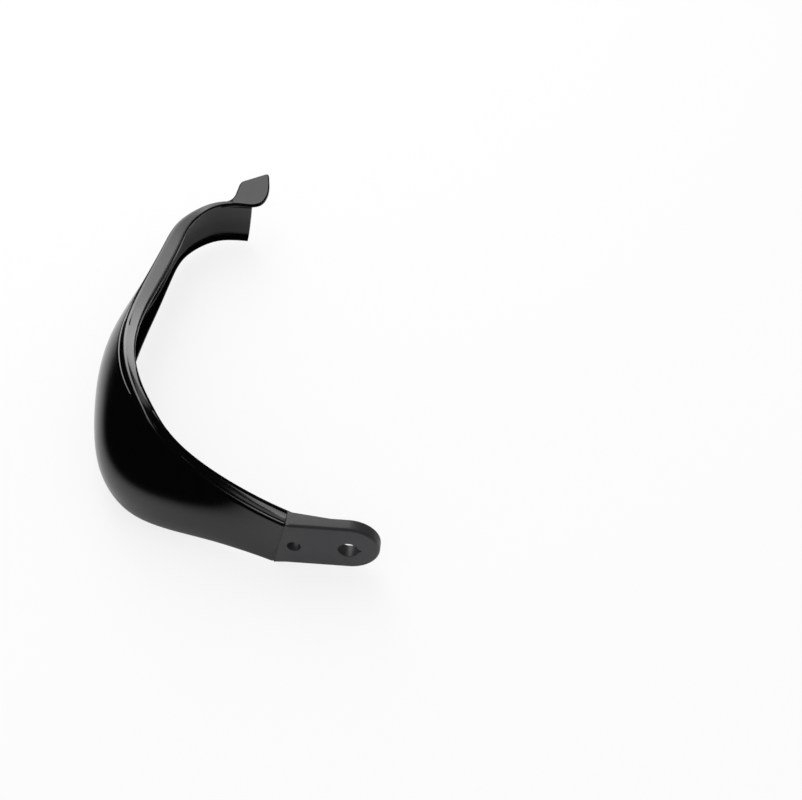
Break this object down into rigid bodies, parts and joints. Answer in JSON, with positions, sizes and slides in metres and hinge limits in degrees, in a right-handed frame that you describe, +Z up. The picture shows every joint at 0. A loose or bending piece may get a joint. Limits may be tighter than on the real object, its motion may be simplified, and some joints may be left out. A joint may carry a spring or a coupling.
{
  "type": "motorcycle hand guard",
  "caption": "Wrap-round hand guard for the left bar end, moulded in one piece with a bored tab, a crowned front shell and a channel arm.",
  "frame": {"origin": "centre of the bar-end hole on the tab's inner seat face", "axes": "+X to the rear of the motorcycle, +Y inboard along the handlebar, +Z up"},
  "size_m": [0.1626, 0.249, 0.0593],
  "materials": {
    "black_plastic": "glossy black, satin on the tab"
  },
  "bodies": {
    "root": {"hand_guard": "black_plastic"}
  },
  "joints": []
}
